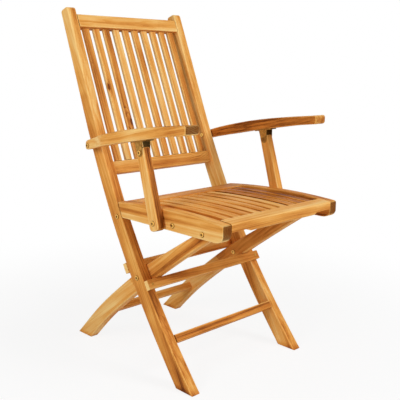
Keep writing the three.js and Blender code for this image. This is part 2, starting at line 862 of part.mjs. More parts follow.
function addArmPosts(parent) {
  const foot = new THREE.Vector2(...postSeatPivot);
  const head = new THREE.Vector2(...postArmPivot);
  const along = head.clone().sub(foot).normalize();
  const rearwards = new THREE.Vector2(along.y, -along.x);
  const top = foot.distanceTo(head) + postHeadroom;
  const shaft = roundedOutline([
    [postFootDepth / 2, -postFootroom, postFootRound],
    [postHeadDepth / 2, top, postHeadRound],
    [-postHeadDepth / 2, top, postHeadRound],
    [-postFootDepth / 2, -postFootroom, postFootRound],
  ]);
  const outline = shaft.map((point) =>
    foot.clone().addScaledVector(rearwards, point.x).addScaledVector(along, point.y),
  );
  const bores = [postSeatPivot, postArmPivot].map((pivot) => boreAt(pivot, 0, postThickness));
  const geometry = subtract(acrossChair(outline, postThickness, softEase), bores);
  addPair(parent, "arm_post", geometry, teak, [postInner + postThickness / 2, 0, 0]);
}

// Slope of the armrest's underside over a bracket, and the bracket pivot's distance below it.
function undersideAtBracket() {
  const samples = [-1, -1 / 2, 0, 1 / 2, 1].map((step) => {
    const depth = postArmPivot[0] + (step * plateLength) / 2;
    return new THREE.Vector2(depth, armStation((armRear - depth) / armReach).z0);
  });
  const run = samples[samples.length - 1].clone().sub(samples[0]).normalize();
  const up = new THREE.Vector2(-run.y, run.x);
  const pivot = new THREE.Vector2(...postArmPivot);
  const headroom = Math.min(...samples.map((sample) => sample.sub(pivot).dot(up)));
  return { slope: Math.atan2(run.y, run.x), headroom };
}

// A folded brass bracket under each armrest: a base plate with a tapered ear on either side.
function addArmBrackets(parent) {
  const { slope, headroom } = undersideAtBracket();
  const plateTop = headroom - glueGap;
  const width = earOuter - earInner;
  const plate = easedPlate(
    roundedOutline(rectangle(width, plateLength).map((p) => [p.x, p.y, plateCorner])),
    plateThickness,
    0,
  );
  plate.translate(earInner + width / 2, 0, plateTop - plateThickness / 2);
  const root = plateTop - plateThickness / 2;
  const earOutline = [
    new THREE.Vector2(earRootWidth / 2, root),
    new THREE.Vector2(-earRootWidth / 2, root),
    new THREE.Vector2(-earRadius, 0),
    ...roundEnd(new THREE.Vector2(), new THREE.Vector2(-earRadius, 0), roundSteps),
    new THREE.Vector2(earRadius, 0),
  ];
  const ears = [earInner, earOuter - earThickness].map((from) =>
    acrossChair(earOutline, earThickness, 0).translate(from + earThickness / 2, 0, 0),
  );
  const bore = boreAt([0, 0], earInner + width / 2, width);
  const geometry = subtract(join([plate, ...ears]), [bore]).rotateX(slope);
  addPair(parent, "arm_bracket", geometry, brass, [0, ...postArmPivot]);
}

function addPivotBolts(parent) {
  addBolts(parent, "bolt_link_stile", linkPivot, { headSeat: stileOuter, tail: linkInner });
  addBolts(parent, "bolt_leg_stile", legPivot, {
    headSeat: stileOuter,
    nutSeat: legInner,
    collars: [[legOuter + glueGap, stileInner - glueGap]],
  });
  addBolts(parent, "bolt_arm_stile", armPivot, {
    headSeat: armInner + tongueWidth,
    nutSeat: stileInner,
    collars: [[stileOuter + glueGap, armInner - glueGap]],
  });
  addBolts(parent, "bolt_leg_seat", seatLegPivot, {
    headSeat: seatRailOuter,
    tail: legOuter + runningGap,
    collars: [[legOuter + runningGap, seatRailInner - glueGap]],
  });
  addBolts(parent, "nut_leg_seat", seatLegPivot, { nutSeat: legInner, tip: legOuter });
  addBolts(parent, "bolt_link_seat", seatLinkPivot, {
    headSeat: seatRailOuter,
    tail: linkInner,
    collars: [[linkOuter + glueGap, seatRailInner - glueGap]],
  });
  addBolts(parent, "bolt_post_seat", postSeatPivot, {
    headSeat: postOuter,
    tail: seatRailOuter + glueGap,
    collars: [[seatRailOuter + glueGap, postInner - glueGap]],
  });
  addBolts(parent, "bolt_post_arm", postArmPivot, {
    headSeat: earOuter,
    nutSeat: earInner,
    nut: nutHeight,
  });
}

addStiles(chair);
addBack(chair);
addBatten(chair, "front_batten", -1, frontBatten);
addBatten(chair, "rear_batten", 1, rearBatten);
addFrontStretcher(chair);
addRearLegs(chair);
addRearStretcher(chair);
addSeatSideRails(chair);
addSeatFrontRail(chair);
addSeatRearRail(chair);
addSeatSlats(chair);
addSeatLinks(chair);
addArmrests(chair);
addArmPosts(chair);
addArmBrackets(chair);
addPivotBolts(chair);

// The finished chair stands with the middle of its depth over the origin.
const extent = new THREE.Box3().setFromObject(chair);
chair.position.y = -(extent.min.y + extent.max.y) / 2;

export default chair;
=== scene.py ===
"""The looks of a folding teak armchair.

Every board is a welded copy of its solid, finished in oiled teak whose growth rings, fibres and
pores run along that board. The straps, brackets and pivot bolts are brushed brass, and small brass
screws hold the battens and the brackets.
"""

import json
import math
import random

import bpy
import numpy as np
from mathutils import Matrix, Vector

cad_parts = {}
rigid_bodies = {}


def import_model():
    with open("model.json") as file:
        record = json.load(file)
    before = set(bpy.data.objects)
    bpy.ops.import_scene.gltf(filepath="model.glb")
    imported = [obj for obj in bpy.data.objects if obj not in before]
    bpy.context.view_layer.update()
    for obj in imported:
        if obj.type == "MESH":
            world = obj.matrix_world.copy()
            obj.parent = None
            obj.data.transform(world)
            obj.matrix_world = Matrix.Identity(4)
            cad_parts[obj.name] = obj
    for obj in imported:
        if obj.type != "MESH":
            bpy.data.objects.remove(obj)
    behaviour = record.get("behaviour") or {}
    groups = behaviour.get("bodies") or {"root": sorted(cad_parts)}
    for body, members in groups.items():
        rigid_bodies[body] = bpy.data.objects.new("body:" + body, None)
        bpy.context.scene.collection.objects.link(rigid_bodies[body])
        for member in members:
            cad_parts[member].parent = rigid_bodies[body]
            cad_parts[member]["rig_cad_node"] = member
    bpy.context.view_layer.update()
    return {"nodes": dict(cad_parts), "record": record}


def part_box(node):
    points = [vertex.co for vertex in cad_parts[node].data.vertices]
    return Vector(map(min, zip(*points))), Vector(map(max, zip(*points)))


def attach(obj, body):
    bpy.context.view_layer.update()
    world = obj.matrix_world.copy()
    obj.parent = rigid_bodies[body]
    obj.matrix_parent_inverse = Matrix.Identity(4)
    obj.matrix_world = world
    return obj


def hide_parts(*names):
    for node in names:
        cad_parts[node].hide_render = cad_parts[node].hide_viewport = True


bl_info = {
    "name": "Folding Teak Armchair",
    "version": (1, 0, 0),
    "blender": (4, 5, 0),
    "location": "View3D > Sidebar > Armchair",
    "description": "Finishes the folding armchair in oiled teak and brass",
    "category": "Object",
}

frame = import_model()

SIDES = ("_left", "_right")
LEFT, RIGHT = (-1, 0, 0), (1, 0, 0)
FRONT, BACK = (0, -1, 0), (0, 1, 0)
UNDER, TOP = (0, 0, -1), (0, 0, 1)
WHITE = (1.0, 1.0, 1.0, 1.0)

BODY_OF = {
    node: body
    for body, members in frame["record"]["behaviour"]["bodies"].items()
    for node in members
}


def shade(red, green, blue):
    """A colour picked on a screen, as the linear values that a shader takes."""
    return tuple(
        part / 255 / 12.92 if part <= 10 else ((part / 255 + 0.055) / 1.055) ** 2.4
        for part in (red, green, blue)
    )


def colour(name, description, default):
    return bpy.props.FloatVectorProperty(
        name=name, description=description, subtype="COLOR", size=3, min=0, max=1, default=default
    )


def length(name, description, default):
    return bpy.props.FloatProperty(
        name=name, description=description, unit="LENGTH", min=0, default=default, precision=5
    )


def turn(name, description, degrees):
    return bpy.props.FloatProperty(
        name=name, description=description, subtype="ANGLE", default=math.radians(degrees)
    )


def power(name, description, watts):
    return bpy.props.FloatProperty(
        name=name, description=description, subtype="POWER", min=0, default=watts
    )


class TeakSettings(bpy.types.PropertyGroup):
    pale: colour("Pale wood", "The palest early wood", shade(255, 212, 136))
    honey: colour("Honey wood", "The usual oiled colour", shade(239, 170, 82))
    tan: colour("Tan wood", "The darker streaks", shade(206, 126, 50))
    heart: colour("Heart wood", "The darkest streaks, knots and pores", shade(116, 58, 16))
    cut_end: colour("Cut end", "Oiled end grain", shade(110, 58, 15))
    ring_width: length("Ring width", "Usual distance from one growth ring to the next", 0.0042)
    ring_wander: length("Ring wander", "How far the rings stray along a board", 0.014)
    crispness: turn("Crispness", "Widest turn between a board's faces that looks smooth", 50)


class BrassSettings(bpy.types.PropertyGroup):
    bright: colour("Bright brass", "Where the brass is rubbed", shade(234, 180, 92))
    dull: colour("Dull brass", "Where the brass has tarnished", shade(116, 76, 30))
    # This colour is painted shade, put between a bracket's ears where shade falls.
    painted_shade_colour: colour("Grime", "What gathers inside the brackets", shade(92, 70, 28))
    crispness: turn("Crispness", "Widest turn between brass faces that looks smooth", 40)
    edge: length("Edge", "Width of the broken edge on straps and brackets", 0.0004)
    screw_radius: length("Screw radius", "Radius of a screw's head", 0.0038)
    screw_height: length("Screw height", "How far a screw's head stands proud", 0.0008)
    slot_width: length("Slot width", "Width of the cross cut into a screw's head", 0.0011)


class StageSettings(bpy.types.PropertyGroup):
    floor: colour("Floor", "The pale floor under the chair", (0.9, 0.9, 0.9))
    floor_size: length("Floor size", "Side of the square floor", 60)
    sky: bpy.props.FloatProperty(
        name="Sky", description="Strength of the white light from all round", default=0.29, min=0
    )
    key: power("Key lamp", "Power of the large lamp in front", 44)
    side: power("Side lamp", "Power of the lamp on the left", 14)


# Shading


class Finish:
    """A material in the making: it adds shader nodes and joins them."""

    def __init__(self, name):
        self.material = bpy.data.materials.new(name)
        self.material.use_nodes = True
        self.tree = self.material.node_tree
        self.tree.nodes.clear()

    def node(self, kind, **settings):
        made = self.tree.nodes.new(kind)
        for key, value in settings.items():
            setattr(made, key, value)
        return made

    def feed(self, socket, value):
        if isinstance(value, bpy.types.NodeSocket):
            self.tree.links.new(value, socket)
        else:
            socket.default_value = value

    def read(self, attribute, output="Fac"):
        return self.node("ShaderNodeAttribute", attribute_name=attribute).outputs[output]

    def math(self, operation, *values, clamp=False):
        made = self.node("ShaderNodeMath", operation=operation, use_clamp=clamp)
        for socket, value in zip(made.inputs, values):
            self.feed(socket, value)
        return made.outputs[0]

    def vector(self, operation, *values):
        made = self.node("ShaderNodeVectorMath", operation=operation)
        for socket, value in zip(made.inputs, values):
            self.feed(socket, value)
        return made.outputs["Value" if operation == "LENGTH" else "Vector"]

    def noise(self, place, detail=2.0, roughness=0.5, output="Fac"):
        made = self.node("ShaderNodeTexNoise")
        self.feed(made.inputs["Vector"], place)
        self.feed(made.inputs["Scale"], 1.0)
        self.feed(made.inputs["Detail"], detail)
        self.feed(made.inputs["Roughness"], roughness)
        return made.outputs[output]

    def drawn_out(self, place, along, across, detail=2.0, roughness=0.5, output="Fac"):
        """Noise with so many waves in each metre along a board and across it."""
        stretched = self.vector("MULTIPLY", place, (along, across, across))
        return self.noise(stretched, detail, roughness, output)

    def between(self, value, low, high, to_low=0.0, to_high=1.0, smooth=False):
        made = self.node(
            "ShaderNodeMapRange", interpolation_type="SMOOTHSTEP" if smooth else "LINEAR"
        )
        for key, given in zip(
            ("Value", "From Min", "From Max", "To Min", "To Max"),
            (value, low, high, to_low, to_high),
        ):
            self.feed(made.inputs[key], given)
        return made.outputs["Result"]

    def near(self, distance, full, gone):
        """1 up to the distance full, and from there down to 0 at the distance gone."""
        return self.between(distance, full, gone, 1.0, 0.0, smooth=True)

    def total(self, base, *parts):
        """base plus the parts, each a (value, weight)."""
        for value, weight in parts:
            base = self.math("MULTIPLY_ADD", value, weight, base)
        return base

    def mix(self, share, first, second):
        made = self.node("ShaderNodeMix", data_type="RGBA")
        self.feed(made.inputs["Factor"], share)
        self.feed(made.inputs[6], first)
        self.feed(made.inputs[7], second)
        return made.outputs[2]

    def ramp(self, value, *stops):
        made = self.node("ShaderNodeValToRGB")
        elements = made.color_ramp.elements
        while len(elements) < len(stops):
            elements.new(1.0)
        for element, (place, tint) in zip(elements, stops):
            element.position = place
            element.color = (*tint, 1.0)
        self.feed(made.inputs[0], value)
        return made.outputs["Color"]

    def relief(self, height, strength, depth):
        """The normal of a surface that rises with height, by depth at most."""
        made = self.node("ShaderNodeBump")
        self.feed(made.inputs["Strength"], strength)
        self.feed(made.inputs["Distance"], depth)
        self.feed(made.inputs["Height"], height)
        return made.outputs["Normal"]

    def surface(self, shader):
        output = self.node("ShaderNodeOutputMaterial")
        self.feed(output.inputs["Surface"], shader)
        return self.material


def oiled_teak(name, settings):
    """Teak that reads what lay_grain writes on a board."""
    wood = Finish(name)
    grain = wood.read("grain", "Vector")
    knot = wood.read("knot", "Vector")
    bud = wood.read("bud")
    end = wood.read("end")

    # The rings stray a little along the board and swell round a knot, which is long in the grain.
    knot_shape = (0.4, 1.0, 1.0)
    stray = wood.drawn_out(grain, along=2.6, across=11.0, output="Color")
    bent = wood.vector("MULTIPLY_ADD", stray, (0.0,) + (settings.ring_wander,) * 2, grain)
    from_knot = wood.vector("MULTIPLY", wood.vector("SUBTRACT", grain, knot), knot_shape)
    knot_distance = wood.vector("LENGTH", from_knot)
    swell = wood.near(knot_distance, full=0.0, gone=0.03)
    core = wood.near(knot_distance, full=0.002, gone=0.006)
    halo = wood.near(knot_distance, full=0.003, gone=0.016)

    # Each year's growth darkens slowly towards its late wood.
    swell_height, uneven_years, lateness = 0.016, 2.2, 2.5
    from_heart = wood.vector("LENGTH", wood.vector("MULTIPLY", bent, (0.0, 1.0, 1.0)))
    from_heart = wood.total(from_heart, (swell, swell_height))
    years = wood.math("DIVIDE", from_heart, settings.ring_width)
    uneven = wood.drawn_out(bent, along=1.4, across=60.0, detail=1.0)
    years = wood.total(years, (uneven, uneven_years))
    late_wood = wood.math("POWER", wood.math("FRACT", years), lateness)

    # Broad bands, streaks, fine fibres and pores, all drawn out along the board.
    bands = wood.drawn_out(bent, along=1.5, across=34.0)
    streaks = wood.drawn_out(bent, along=4.0, across=150.0, detail=3.0, roughness=0.6)
    fibres = wood.drawn_out(bent, along=14.0, across=900.0, detail=3.0, roughness=0.65)
    specks = wood.drawn_out(bent, along=70.0, across=1900.0, detail=1.0)
    pores = wood.between(specks, 0.6, 0.72)
    patches = wood.drawn_out(grain, along=9.0, across=16.0)
    sap_edge = wood.total(wood.read("sap"), (bands, 0.008), (streaks, 0.004))
    sapwood = wood.between(sap_edge, 0.0045, 0.0085, smooth=True)

    # The wood darkens towards the floor, over its lowest centimetre or so.
    height = wood.node("ShaderNodeSeparateXYZ")
    wood.feed(height.inputs[0], wood.node("ShaderNodeTexCoord").outputs["Object"])
    above_floor = wood.total(height.outputs["Z"], (streaks, -0.012))
    darker_near_floor = wood.between(above_floor, -0.006, 0.008, 1.0, 0.0)

    usual_lightness = 0.6
    noises = ((bands, 1.2), (streaks, 0.9), (fibres, 0.35), (patches, 0.6))
    lightness = wood.total(
        usual_lightness - sum(weight for _, weight in noises) / 2,
        (wood.read("tone"), 0.2),
        *noises,
        (late_wood, wood.total(-0.12, (swell, -0.3))),
        (pores, -0.15),
        (wood.math("MULTIPLY", core, bud), -0.4),
        (wood.math("MULTIPLY", halo, bud), -0.15),
        (sapwood, 0.22),
        # A painted highlight on the eased edges.
        (wood.read("ease"), 0.26),
        # Painted shade and painted light on whole faces, by the way they look.
        (wood.read("dim"), -1.0),
        (darker_near_floor, -0.35),
    )
    body = wood.ramp(
        lightness,
        (0.0, settings.heart),
        (0.3, settings.tan),
        (0.6, settings.honey),
        (1.0, settings.pale),
    )
    sawn = wood.between(wood.total(late_wood, (fibres, 1.0)), 0.3, 1.3, 0.75, 1.0)
    tint = wood.mix(wood.math("MULTIPLY", end, sawn), body, (*settings.cut_end, 1.0))

    skin = wood.node("ShaderNodeBsdfPrincipled")
    wood.feed(skin.inputs["Base Color"], tint)
    rough = wood.between(streaks, 0.3, 0.7, 0.56, 0.44)
    wood.feed(skin.inputs["Roughness"], wood.total(rough, (end, 0.2), (pores, 0.15)))
    wood.feed(skin.inputs["Specular IOR Level"], 0.07)
    surface_height = wood.total(fibres, (late_wood, 0.35), (pores, -0.2))
    wood.feed(skin.inputs["Normal"], wood.relief(surface_height, strength=0.3, depth=0.00005))
    return wood.surface(skin.outputs["BSDF"])


def brushed_brass(settings):
    """Brass with fine rubbing marks, tarnished where its point attribute is low, and given a
    painted shade colour where that attribute is below 0. The attribute holds rubbing and painted
    light: a painted highlight on each bolt head's ring, painted shade in its socket and at its rim,
    and painted shade between a bracket's ears.
    """
    metal = Finish("brushed_brass")
    worn = metal.read("worn")
    place = metal.node("ShaderNodeTexCoord").outputs["Object"]
    cloud_scale, mark_scale = (90.0, 90.0, 90.0), (2600.0, 500.0, 900.0)
    clouds = metal.noise(metal.vector("MULTIPLY", place, cloud_scale), detail=3.0, roughness=0.6)
    marks = metal.noise(metal.vector("MULTIPLY", place, mark_scale))
    # The painted highlight and painted shade that the attribute holds brighten and dull the brass,
    # together with the tarnished clouds.
    spread = metal.total(0.28, (clouds, 0.45), (marks, 0.25), (worn, -0.4))
    tarnish_and_painted_light = metal.between(spread, 0.32, 0.62, 0.0, 0.95)
    tint = metal.mix(tarnish_and_painted_light, (*settings.bright, 1.0), (*settings.dull, 1.0))
    # Painted shade between a bracket's ears, where the attribute is below 0.
    painted_shade_share = metal.between(worn, -1.0, 0.0, 0.9, 0.0)
    tint = metal.mix(painted_shade_share, tint, (*settings.painted_shade_colour, 1.0))

    skin = metal.node("ShaderNodeBsdfPrincipled")
    metal.feed(skin.inputs["Metallic"], 1.0)
    metal.feed(skin.inputs["Base Color"], tint)
    rough = metal.total(metal.between(tarnish_and_painted_light, 0.0, 1.0, 0.26, 0.5), (marks, 0.12))
    metal.feed(skin.inputs["Roughness"], rough)
    metal.feed(skin.inputs["Normal"], metal.relief(marks, strength=0.15, depth=0.0002))
    return metal.surface(skin.outputs["BSDF"])


def teak(name):
    """The oiled teak of that name, made the first time that it is asked for."""
    return bpy.data.materials.get(name) or oiled_teak(name, bpy.context.scene.chair_teak)


def brass():
    """The brass, made the first time that it is asked for."""
    return bpy.data.materials.get("brushed_brass") or brushed_brass(bpy.context.scene.chair_brass)


# Boards


WELD = 0.00001
FAR_FROM_ANY_BOARD = (99.0, 99.0, 99.0)
HEART_DISTANCES = (0.035, 0.12)
SHIFTS_ALONG = (-9, 9)
GRAIN_SLOPES = (-0.03, 0.03)

# Cosines: a face begins to look that way at the first one, and does so fully from the second.
LOOKS_THERE = (0.5, 0.95)
LOOKS_ALONG = (0.6, 0.9)
LOOKS_SQUARE = (0.9, 0.97)


def select_only(piece):
    bpy.ops.object.select_all(action="DESELECT")
    piece.select_set(True)
    bpy.context.view_layer.objects.active = piece


def points_of(mesh):
    flat = np.empty(len(mesh.vertices) * 3)
    mesh.vertices.foreach_get("co", flat)
    return flat.reshape(-1, 3)


def board_axes(mesh):
    """A board's middle, and its directions along the length, the width and the thickness."""
    points = points_of(mesh)
    mesh.calc_loop_triangles()
    corners = np.empty(len(mesh.loop_triangles) * 3, dtype=np.int32)
    mesh.loop_triangles.foreach_get("vertices", corners)
    corners = points[corners.reshape(-1, 3)]
    edges = np.cross(corners[:, 1] - corners[:, 0], corners[:, 2] - corners[:, 0])
    areas = np.linalg.norm(edges, axis=1)
    middles = corners.mean(axis=1)
    centre = np.average(middles, axis=0, weights=areas)
    away = middles - centre
    _, axes = np.linalg.eigh((away * areas[:, None]).T @ away)
    axes = axes[:, ::-1].T
    largest = axes[np.arange(3), np.abs(axes).argmax(axis=1)]
    return centre, axes * np.sign(largest)[:, None]


def write_attribute(mesh, name, kind, domain, values):
    attribute = mesh.attributes.new(name, kind, domain)
    field = "vector" if kind == "FLOAT_VECTOR" else "value"
    attribute.data.foreach_set(field, np.asarray(values, dtype=np.float32).ravel())


def soft_step(values, low, high):
    share = np.clip((values - low) / (high - low), 0, 1)
    return share * share * (3 - 2 * share)


def lay_grain(piece, tone=None, knot=None, bud=1.0, heart=None, sap=None, cut=1.0, dim=None):
    """Writes where each point of a board lies in the tree that it was sawn from.

    tone is how pale the board is, from -1 to 1. knot is a place on the board, as shares of its
    half length, half width and half thickness, and bud is how dark its middle is. heart is the
    distance and the angle of the tree's heart from the middle of the board. Where tone or heart
    isn't given, it is drawn by lot from the piece's name.
    sap is where the paler sapwood lies: a direction, how far that way from the middle of the board
    it begins, and how much farther for each metre along the board. cut is how dark the ends are.
    The last argument gives painted shade for each direction: how much darker the faces that look
    that way are painted; an amount below 0 paints them lighter, as painted light.
    """
    lot = random.Random(piece.name)
    drawn_tone = lot.uniform(-1, 1)
    drawn_heart = (lot.uniform(*HEART_DISTANCES), lot.uniform(0, 2 * math.pi))
    shift = lot.uniform(*SHIFTS_ALONG)
    slope_wide = lot.uniform(*GRAIN_SLOPES)
    slope_deep = lot.uniform(*GRAIN_SLOPES)
    tone = drawn_tone if tone is None else tone
    distance, angle = heart or drawn_heart

    mesh = piece.data
    centre, axes = board_axes(mesh)
    on_board = (points_of(mesh) - centre) @ axes.T

    def in_tree(place):
        tree = np.array(place, dtype=float)
        tree[..., 1] += distance * math.cos(angle) + place[..., 0] * slope_wide
        tree[..., 2] += distance * math.sin(angle) + place[..., 0] * slope_deep
        tree[..., 0] += shift
        return tree

    half = (on_board.max(axis=0) - on_board.min(axis=0)) / 2
    knot_place = in_tree(half * np.array(knot)) if knot else FAR_FROM_ANY_BOARD
    count = len(mesh.vertices)
    write_attribute(mesh, "grain", "FLOAT_VECTOR", "POINT", in_tree(on_board))
    write_attribute(mesh, "knot", "FLOAT_VECTOR", "POINT", np.tile(knot_place, (count, 1)))
    write_attribute(mesh, "tone", "FLOAT", "POINT", np.full(count, tone))
    into_sap = np.full(count, -1.0)
    if sap:
        towards, start, drift = sap
        into_sap = (points_of(mesh) - centre) @ np.array(towards) - start - drift * on_board[:, 0]
    write_attribute(mesh, "sap", "FLOAT", "POINT", into_sap)
    write_attribute(mesh, "bud", "FLOAT", "POINT", np.full(count, bud))

    facing = np.empty(len(mesh.polygons) * 3)
    mesh.polygons.foreach_get("normal", facing)
    facing = facing.reshape(-1, 3)
    turned = np.abs(facing @ axes.T)
    # Painted shade: each face is painted darker by the amount given for the way it looks, and
    # lighter, as painted light, where that amount is below 0.
    darker = np.zeros(len(facing))
    for way, amount in (dim or {}).items():
        darker += amount * soft_step(facing @ np.array(way), *LOOKS_THERE)
    end = cut * soft_step(turned[:, 0], *LOOKS_ALONG)
    # Faces that are square to none of the board's axes, along its eased edges and curves, get a
    # painted highlight.
    ease = 1 - soft_step(turned.max(axis=1), *LOOKS_SQUARE)
    write_attribute(mesh, "dim", "FLOAT", "FACE", darker)
    write_attribute(mesh, "end", "FLOAT", "FACE", end)
    write_attribute(mesh, "ease", "FLOAT", "FACE", ease)


def welded_copy(node, name):
    """A copy of a solid, without its old shading and with its loose triangles merged."""
    select_only(frame["nodes"][node])
    bpy.ops.object.duplicate()
    piece = bpy.context.object
    del piece["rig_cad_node"]
    piece.name = name
    bpy.ops.mesh.customdata_custom_splitnormals_clear()
    bpy.ops.object.mode_set(mode="EDIT")
    bpy.ops.mesh.select_all(action="SELECT")
    bpy.ops.mesh.remove_doubles(threshold=WELD)
    bpy.ops.object.mode_set(mode="OBJECT")
    piece.data.materials.clear()
    return piece


def apply_modifier(kind, **settings):
    bpy.ops.object.modifier_add(type=kind)
    modifier = bpy.context.object.modifiers[-1]
    for key, value in settings.items():
        setattr(modifier, key, value)
    bpy.ops.object.modifier_apply(modifier=modifier.name)


def soften(piece, angle):
    """Smooth shading that keeps the flats flat and the cut edges sharp."""
    select_only(piece)
    bpy.ops.object.shade_smooth_by_angle(angle=angle)
    apply_modifier("WEIGHTED_NORMAL", keep_sharp=True)


def stand_in(piece, node):
    """Puts a finished piece in the place of its plain solid."""
    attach(piece, BODY_OF[node])
    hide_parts(node)


def dress_board(node, slot="teak", **grain):
    """Makes a board of oiled teak, with the grain that lay_grain is told of."""
    piece = welded_copy(node, node + "_board")
    piece.data.materials.append(teak("oiled_" + slot))
    lay_grain(piece, **grain)
    soften(piece, bpy.context.scene.chair_teak.crispness)
    stand_in(piece, node)


class StilesOperator(bpy.types.Operator):
    """Dresses the two long stiles that are front legs and back posts in one"""

    bl_idname = "chair.stiles"
    bl_label = "Stiles"

    def execute(self, context):
        sap = (RIGHT, 0.0385, -0.175)
        # Painted shade on the left stile's left and front faces.
        dim = {LEFT: 0.1, FRONT: 0.12}
        dress_board("stile_left", tone=-0.4, heart=(0.07, 0.4), sap=sap, cut=0.3, dim=dim)
        dress_board("stile_right", tone=0.5, heart=(0.09, 2.0), cut=0.3)
        return {"FINISHED"}


class BackRailsOperator(bpy.types.Operator):
    """Dresses the top rail and the lower rail of the back"""

    bl_idname = "chair.back_rails"
    bl_label = "Back rails"

    def execute(self, context):
        sap = (UNDER, 0.0, 0.01)
        # Painted shade on the top rail's underside and top.
        dim = {UNDER: 0.4, TOP: 0.35}
        dress_board("top_rail", tone=0.2, heart=(0.05, 1.57), sap=sap, dim=dim)
        knot = (0.72, 0.1, -1.0)
        # Painted shade on the lower back rail's top.
        dim = {TOP: 0.15}
        dress_board("lower_back_rail", tone=-0.1, knot=knot, bud=0.15, heart=(0.06, 0.3), dim=dim)
        return {"FINISHED"}


class BackSlatsOperator(bpy.types.Operator):
    """Dresses the upright slats of the back"""

    bl_idname = "chair.back_slats"
    bl_label = "Back slats"

    def execute(self, context):
        tones = (-1.0, 0.4, -0.8, 0.9, 0.6, 0.2, 0.4, 0.5, 0.0, -1.0)
        knots = {2: ((0.1, -0.6, -1.0), 1.8), 3: ((-0.45, 0.3, -1.0), 0.7)}
        for number, tone in enumerate(tones, 1):
            node = f"back_slat_{number:02d}"
            knot, bud = knots.get(number, (None, 0.0))
            # Painted light on each back slat's left side.
            dress_board(node, "teak_slats", tone=tone, knot=knot, bud=bud, dim={LEFT: -0.45})
        return {"FINISHED"}


class BattensOperator(bpy.types.Operator):
    """Dresses the front and rear battens and the two stretchers"""

    bl_idname = "chair.battens"
    bl_label = "Battens and stretchers"

    def execute(self, context):
        # Painted light on the battens' left faces and the front stretcher's top, and painted shade
        # on the front stretcher's front.
        dress_board("front_batten", tone=-0.5, cut=0.0, dim={LEFT: -0.5})
        dress_board("rear_batten", tone=-0.8, cut=0.0, dim={LEFT: -0.5})
        dress_board("front_stretcher", tone=-1.0, dim={TOP: -0.35, FRONT: 0.15})
        dress_board("rear_stretcher", tone=-0.7)
        return {"FINISHED"}


class RearLegsOperator(bpy.types.Operator):
    """Dresses the bowed rear legs"""

    bl_idname = "chair.rear_legs"
    bl_label = "Rear legs"

    def execute(self, context):
        sap = ((0, 0.5, -0.85), 0.009, 0.02)
        for side, tone in zip(SIDES, (-0.3, -0.4)):
            # Painted light on the rear legs' undersides.
            dress_board("rear_leg" + side, tone=tone, sap=sap, cut=0.6, dim={UNDER: -0.15})
        return {"FINISHED"}


class SeatRailsOperator(bpy.types.Operator):
    """Dresses the four rails round the seat"""

    bl_idname = "chair.seat_rails"
    bl_label = "Seat rails"

    def execute(self, context):
        sap = (UNDER, 0.004, 0.015)
        dress_board("seat_side_rail_left", tone=-0.1, heart=(0.05, 1.4), sap=sap)
        # Painted shade on the right seat rail's inner face.
        dress_board("seat_side_rail_right", tone=-0.4, dim={LEFT: 0.22})
        # Painted shade on the front seat rail's front, and painted light on its top.
        dim = {FRONT: 0.2, TOP: -0.15}
        dress_board("seat_front_rail", tone=0.1, heart=(0.08, 1.2), dim=dim)
        dress_board("seat_rear_rail", tone=0.0)
        return {"FINISHED"}


class SeatSlatsOperator(bpy.types.Operator):
    """Dresses the crowned slats of the seat"""

    bl_idname = "chair.seat_slats"
    bl_label = "Seat slats"

    def execute(self, context):
        tones = (0.0, 0.3, 0.4, 0.5, 0.5, -0.1, 0.2, -0.3, -1.0, -1.0)
        # Painted shade on each slat: its left side darker, though painted nearly as light as the
        # top on slats 3, 5 and 9, its right side darker, and the top darker on slats 9 and 10.
        with_painted_lit_sides = (3, 5, 9)
        with_painted_shaded_tops = (9, 10)
        for number, tone in enumerate(tones, 1):
            dim = {LEFT: 0.05 if number in with_painted_lit_sides else 0.3, RIGHT: 0.4}
            if number in with_painted_shaded_tops:
                dim[TOP] = 0.2
            dress_board(f"seat_slat_{number:02d}", "teak_slats", tone=tone, dim=dim)
        return {"FINISHED"}


class ArmrestsOperator(bpy.types.Operator):
    """Dresses the curved armrests"""

    bl_idname = "chair.armrests"
    bl_label = "Armrests"

    def execute(self, context):
        # Painted shade on the left armrest's top and the right armrest's inner face.
        dress_board("armrest_left", tone=0.2, heart=(0.06, 1.5), dim={TOP: 0.45})
        dress_board("armrest_right", tone=-0.9, heart=(0.07, 0.2), cut=0.3, dim={LEFT: 0.15})
        return {"FINISHED"}


class ArmPostsOperator(bpy.types.Operator):
    """Dresses the posts under the armrests"""

    bl_idname = "chair.arm_posts"
    bl_label = "Arm posts"

    def execute(self, context):
        # Painted shade on the left arm post's front.
        dress_board("arm_post_left", tone=-0.7, sap=(LEFT, 0.006, 0.0), dim={FRONT: 0.2})
        dress_board("arm_post_right", tone=-0.8)
        return {"FINISHED"}


# Brass


RUBBED, PAINTED_SHADE = 0.3, -1.0
ON_ONE_PLANE = math.radians(1)
CUT_EDGE = math.radians(50)

# A point this near to the side of a bracket's box lies on that side.
AT_SIDE = 0.001


def evenly_worn(points):
    return np.full(len(points), RUBBED)


def painted_bolt_ring(points):
    """Round a head that lies across the chair: painted shade, as dull brass, in the socket and at
    the rim, and a painted highlight on the ring between them.
    """
    middle = (points.min(axis=0) + points.max(axis=0)) / 2
    away = np.hypot(*(points - middle)[:, 1:].T)
    share = away / away.max()
    past_socket = soft_step(share, 0.3, 0.5)
    at_rim = soft_step(share, 0.8, 1.0)
    return past_socket - at_rim


def rubbed_outside_painted_shade_between(points):
    """On a bracket: rubbed on the outer faces of its ears, and painted shade all between them."""
    away = np.abs(points[:, 0] - (points[:, 0].min() + points[:, 0].max()) / 2)
    return np.where(away > away.max() - AT_SIDE, RUBBED, PAINTED_SHADE)


